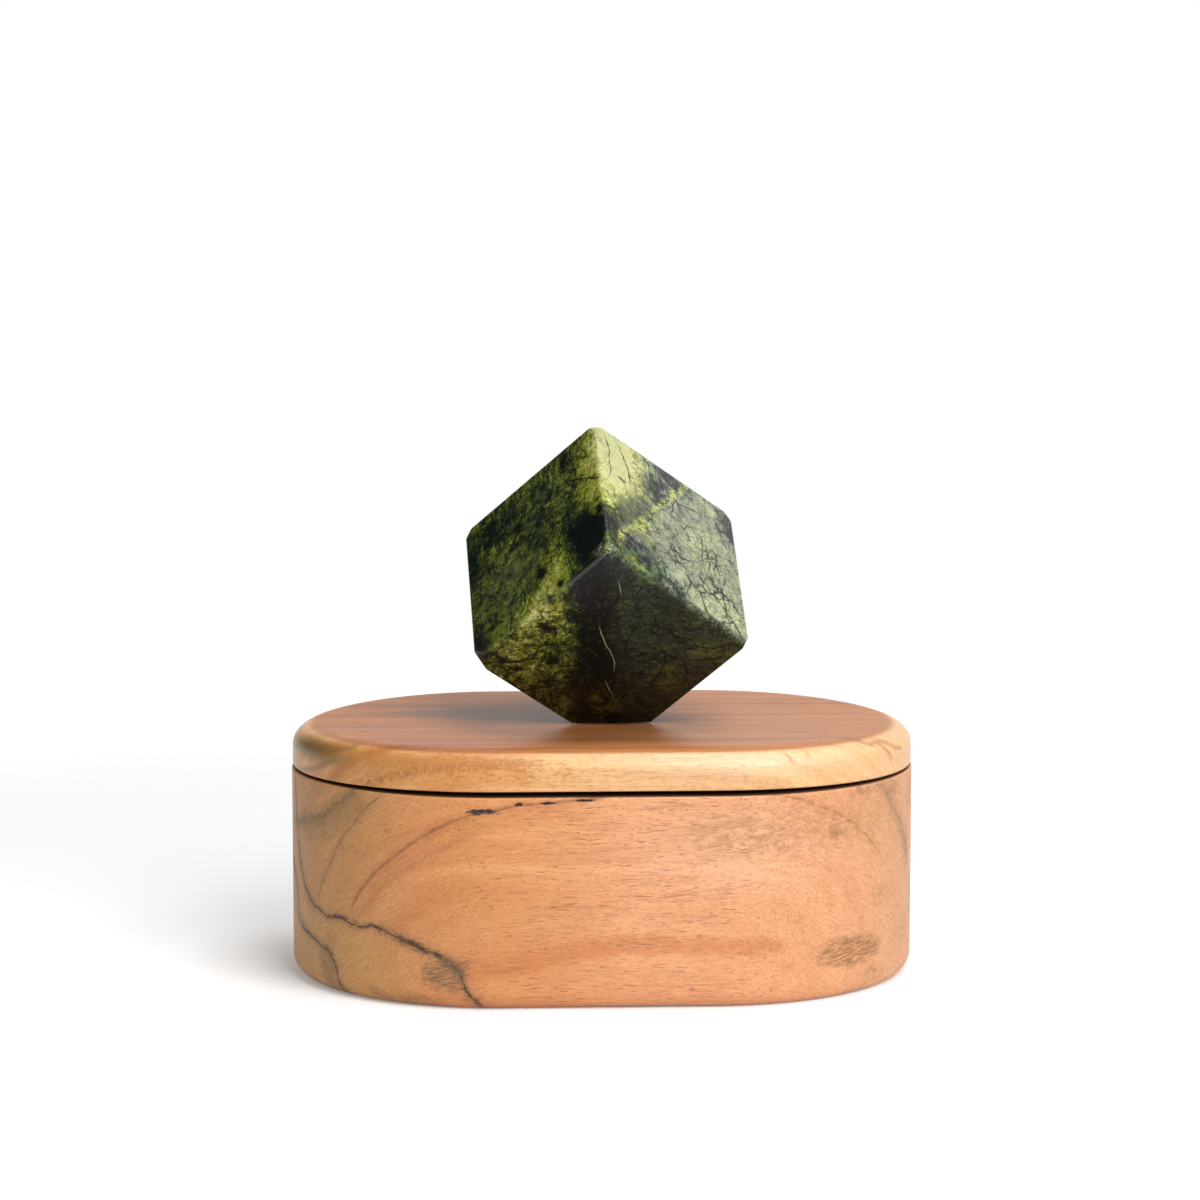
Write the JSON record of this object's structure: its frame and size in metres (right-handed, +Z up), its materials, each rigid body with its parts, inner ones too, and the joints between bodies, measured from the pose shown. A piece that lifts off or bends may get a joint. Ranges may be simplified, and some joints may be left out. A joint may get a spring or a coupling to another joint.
{
  "type": "jewelry box",
  "caption": "Oval wooden keepsake box with a loose lift-off lid, a locating panel under the lid and a polished green stone cube on its corner as the handle.",
  "frame": {"origin": "middle of the underside, at the bottom centre of the bounding box", "axes": "+X along the length of the oval, +Y towards the back, +Z up, the front of the box faces -Y"},
  "size_m": [0.15, 0.1, 0.1316],
  "materials": {
    "body_wood": "spalted salmon-brown wood, hand-rubbed satin oil",
    "lid_wood": "spalted golden to pinkish-brown wood, hand-rubbed satin oil",
    "panel_wood": "plain oiled wood",
    "green_stone": "polished green and black mottled stone",
    "pin_steel": "plain ground steel",
    "liner_felt": "dark wool felt"
  },
  "bodies": {
    "box": {"box_body": "body_wood", "felt_liner": "liner_felt"},
    "lid": {"lid": "lid_wood", "locating_panel": "panel_wood", "stone_cube": "green_stone", "stone_pin": "pin_steel"}
  },
  "joints": [
    {"name": "lid_lift", "type": "slide", "parent": "box", "child": "lid", "axis": [0, 0, 1], "range_m": [0, 0.06]}
  ]
}
